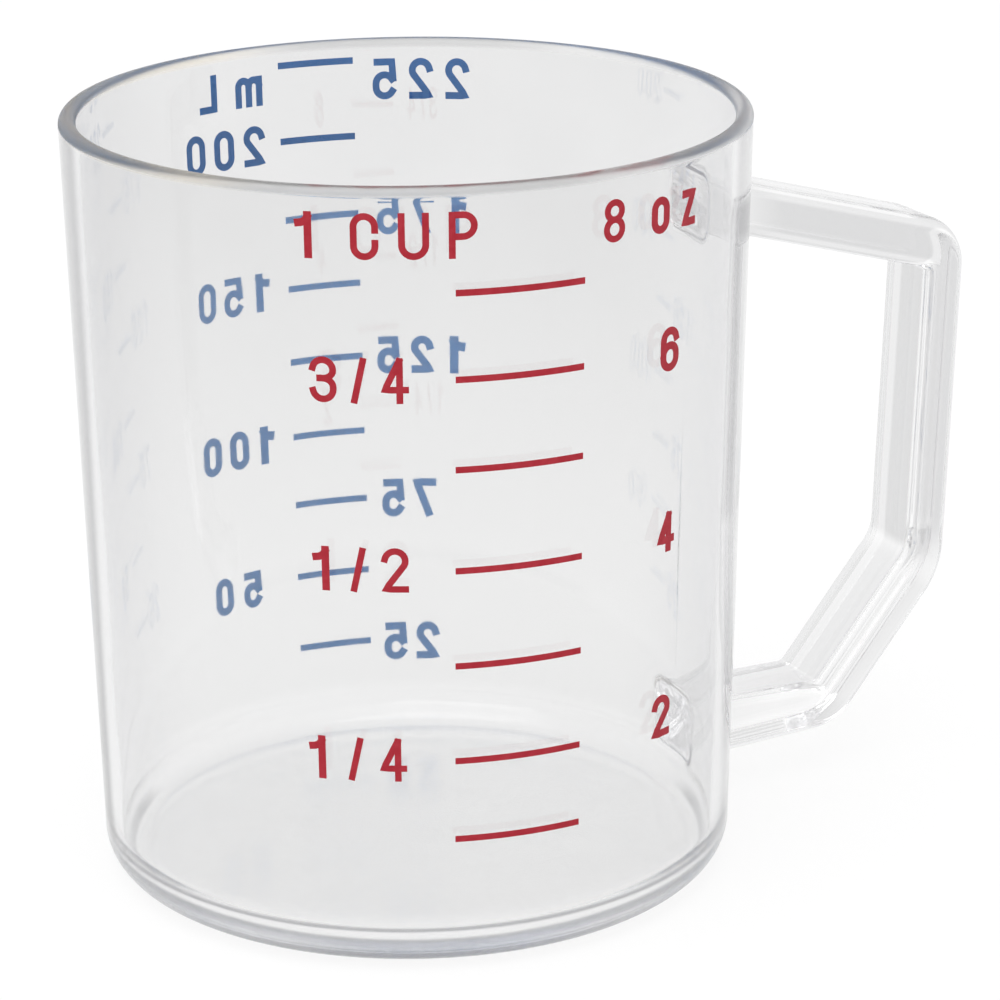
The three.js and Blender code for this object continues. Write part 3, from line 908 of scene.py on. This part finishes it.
# %% Gloss of the plastic
FROST = 0.15
SATIN = 0.45
DEPTH_COLOUR = (0.5, 0.5, 0.52, 1.0)
DENSITY = 4.0
haze = spread_over(tree, noise_on_object(tree, 900, 3), 0.01, 0.035)
frosted = spread_over(tree, place["Z"], FROST, 0.0, 3 * MM, 6 * MM)
satin_lip = worked_out(tree, "MULTIPLY", on_lip, SATIN)
dulled = worked_out(tree, "ADD", worked_out(tree, "ADD", haze, frosted), satin_lip)
tree.links.new(dulled, shader.inputs["Roughness"])
depth = tree.nodes.new("ShaderNodeVolumeAbsorption")
depth.inputs["Color"].default_value = DEPTH_COLOUR
depth.inputs["Density"].default_value = DENSITY
tree.links.new(depth.outputs["Volume"], output.inputs["Volume"])
print("absorption per millimetre:", DENSITY * (1 - DEPTH_COLOUR[0]) * MM)

# %% [markdown]
# Plastic that flowed into its mould keeps slow waves in its skin. A Bump node bends the light as they would
# and needs no more faces.

# %% Waves in the plastic
bump = tree.nodes.new("ShaderNodeBump")
bump.inputs["Strength"].default_value = 0.12
bump.inputs["Distance"].default_value = 0.6 * MM
tree.links.new(noise_on_object(tree, 70, 1), bump.inputs["Height"])
tree.links.new(bump.outputs["Normal"], shader.inputs["Normal"])
moulding.data.materials.append(clear)
print("clear plastic on", moulding.name)

# %% [markdown]
# ## Inks
# Printing ink on plastic is strong in colour and a little glossy. A pad leaves it slightly thinner in
# places, so the colour wanders between a full and a thinner tone, and its gloss is broken by fine grain.
# Where ink lies against the wall it is seen through the plastic and has less light on it, so that face gets a
# brighter tone, which is painted light. The blue that the photograph shows through the front wall as well is
# paler than the blue seen over the rim, so this painted light is strongest below the line of 200.


# %% Red and blue ink
def ink(name, full, thin, inner):
    """Ink that wanders between a full and a thinner tone, with a fine grain in its gloss and its surface. Its
    inner face looks towards the axis: there the dot product of place and normal is less than 0."""
    material, tree, shader, output = new_material(name)
    thinning = spread_over(tree, noise_on_object(tree, 1100, 4), 0.0, 1.0, 0.35, 0.75)
    place = axes_of(tree, "Object")
    looks = axes_of(tree, "Normal")
    outwards = worked_out(tree, "ADD", *[worked_out(tree, "MULTIPLY", place[a], looks[a]) for a in "XY"])
    inner_share = spread_over(tree, outwards, 1.0, 0.0, -10 * MM, 10 * MM)
    # painted light: the inner face, against the wall, gets a brighter tone
    tone = mixed(tree, inner_share, mixed(tree, thinning, full, thin), inner)
    tree.links.new(tone, shader.inputs["Base Color"])
    tree.links.new(spread_over(tree, noise_on_object(tree, 5000, 2), 0.32, 0.5), shader.inputs["Roughness"])
    shader.inputs["Specular IOR Level"].default_value = 0.2
    grain = tree.nodes.new("ShaderNodeBump")
    grain.inputs["Strength"].default_value = 0.15
    grain.inputs["Distance"].default_value = 0.03 * MM
    tree.links.new(noise_on_object(tree, 6000, 2), grain.inputs["Height"])
    tree.links.new(grain.outputs["Normal"], shader.inputs["Normal"])
    return material


FULL_RED, THIN_RED, INNER_RED_PAINTED_LIGHT = (0.31, 0.011, 0.022), (0.35, 0.02, 0.033), (0.65, 0.03, 0.06)
FULL_BLUE, THIN_BLUE, INNER_BLUE_PAINTED_LIGHT = (0.05, 0.16, 0.50), (0.07, 0.19, 0.54), (0.055, 0.24, 0.66)
LOW_INNER_BLUE_PAINTED_LIGHT = (0.065, 0.365, 0.93)
red_ink = ink("red_ink", FULL_RED, THIN_RED, INNER_RED_PAINTED_LIGHT)
blue_ink = ink("blue_ink", FULL_BLUE, THIN_BLUE, INNER_BLUE_PAINTED_LIGHT)
painted_light_blue = ink("painted_light_blue_ink", FULL_BLUE, THIN_BLUE, LOW_INNER_BLUE_PAINTED_LIGHT)
for piece in ounce_lines + red_labels:
    piece.data.materials.append(red_ink)
for piece in millilitre_lines + blue_labels:
    over_rim = piece.name.endswith(("225", "200", "ml"))
    piece.data.materials.append(blue_ink if over_rim else painted_light_blue)
print("inked pieces:", len(ounce_lines + red_labels), "red,", len(millilitre_lines + blue_labels), "blue")

# %% [markdown]
# ## Floor and light
# A clear object has almost no look of its own: it shows what stands round it. Photographers light it from
# a bright field and keep the sky over it a little dimmer, so that lip, corners and bends draw themselves
# as darker lines. The floor here is pale. To the eye, and to what is seen through or mirrored in the
# plastic, most of its whiteness is its own, and the rest is lit paint that keeps the shadow.

# %% Floor
FLOOR_SIZE = 4.0
FLOOR_DROP = 0.1 * MM
half = FLOOR_SIZE / 2
floor_corners = [(x * half, y * half, -FLOOR_DROP) for x, y in ((-1, -1), (1, -1), (1, 1), (-1, 1))]
floor_mesh = bpy.data.meshes.new("floor")
floor_mesh.from_pydata(floor_corners, [], [(0, 1, 2, 3)])
floor = bpy.data.objects.new("floor", floor_mesh)
bpy.context.scene.collection.objects.link(floor)
print("floor:", FLOOR_SIZE, "m wide")


# %% Paint of the floor
def seen_rays(tree):
    """1 for rays from the camera and for those through or off a clear or glossy surface, else 0."""
    rays = tree.nodes.new("ShaderNodeLightPath").outputs
    mirrored_or_through = worked_out(tree, "MAXIMUM", rays["Is Glossy Ray"], rays["Is Transmission Ray"])
    return worked_out(tree, "MAXIMUM", rays["Is Camera Ray"], mirrored_or_through)


SHADOW_SHARE = 0.12
paint, tree, shader, output = new_material("floor_paint")
shader.inputs["Base Color"].default_value = (0.95, 0.95, 0.95, 1.0)
shader.inputs["Roughness"].default_value = 1.0
shader.inputs["Specular IOR Level"].default_value = 0.0
glow = tree.nodes.new("ShaderNodeEmission")
blend = tree.nodes.new("ShaderNodeMixShader")
pick = tree.nodes.new("ShaderNodeMixShader")
blend.inputs[0].default_value = SHADOW_SHARE
tree.links.new(glow.outputs[0], blend.inputs[1])
tree.links.new(shader.outputs[0], blend.inputs[2])
tree.links.new(seen_rays(tree), pick.inputs[0])
tree.links.new(shader.outputs[0], pick.inputs[1])
tree.links.new(blend.outputs[0], pick.inputs[2])
tree.links.new(pick.outputs[0], output.inputs["Surface"])
floor_mesh.materials.append(paint)
print("share of the floor's tone that shows the shadow:", SHADOW_SHARE)

# %% Sky
HORIZON = 1.0
ZENITH = 0.75
world = bpy.data.worlds.new("studio")
bpy.context.scene.world = world
world.use_nodes = True
tree = world.node_tree
background = tree.nodes["Background"]
level = spread_over(tree, axes_of(tree, "Generated")["Z"], HORIZON, ZENITH, 0.1, 0.9)
tree.links.new(level, background.inputs["Color"])
print("sky from", HORIZON, "at the horizon to", ZENITH, "overhead")

# %% Lamp
LAMP_PLACE = Vector((-0.45, -0.4, 1.3))
LAMP_AIM = Vector((0, 0, 0.04))
lamp = bpy.data.lights.new("softbox", "AREA")
lamp.shape = "SQUARE"
lamp.size = 1.4
lamp.energy = 14.0
softbox = bpy.data.objects.new("softbox", lamp)
bpy.context.scene.collection.objects.link(softbox)
softbox.location = LAMP_PLACE
softbox.visible_glossy = False
softbox.rotation_euler = (LAMP_AIM - LAMP_PLACE).to_track_quat("-Z", "Y").to_euler()
print("softbox", lamp.size, "m wide,", lamp.energy, "W")

# %% [markdown]
# ## Camera
# The photograph looks a little down on the cup, from the front and from the side away from the handle. The
# camera's place, aim and lens were fitted to the rim, the base and the handle.

# %% Camera
EYE = Vector((-153.144, -333.989, 160.259)) * MM
AIM = Vector((8.002, -3.903, 37.279)) * MM
ROLL = -0.008064
lens = bpy.data.cameras.new("camera")
lens.lens = 137.06
lens.sensor_width = 36.0
lens.clip_start = 0.01
camera = bpy.data.objects.new("camera", lens)
bpy.context.scene.collection.objects.link(camera)
forward = (AIM - EYE).normalized()
right = forward.cross(Vector((0, 0, 1))).normalized()
upward = right.cross(forward)
right, upward = (right * np.cos(ROLL) + upward * np.sin(ROLL), upward * np.cos(ROLL) - right * np.sin(ROLL))
camera.matrix_world = Matrix.Translation(EYE) @ Matrix((right, upward, -forward)).transposed().to_4x4()
bpy.context.scene.camera = camera
print("camera at", [round(c, 3) for c in camera.location])

# %% [markdown]
# In a clear lip light is thrown to and fro many times before it comes out, and a ray that is given up too
# soon counts as black. So the rays may bounce often. The Standard view shows white as white.

# %% Bounces and view
BOUNCES = 64
cycles = bpy.context.scene.cycles
cycles.max_bounces = cycles.glossy_bounces = cycles.transmission_bounces = BOUNCES
bpy.context.scene.view_settings.view_transform = "Standard"
print("bounces:", BOUNCES)
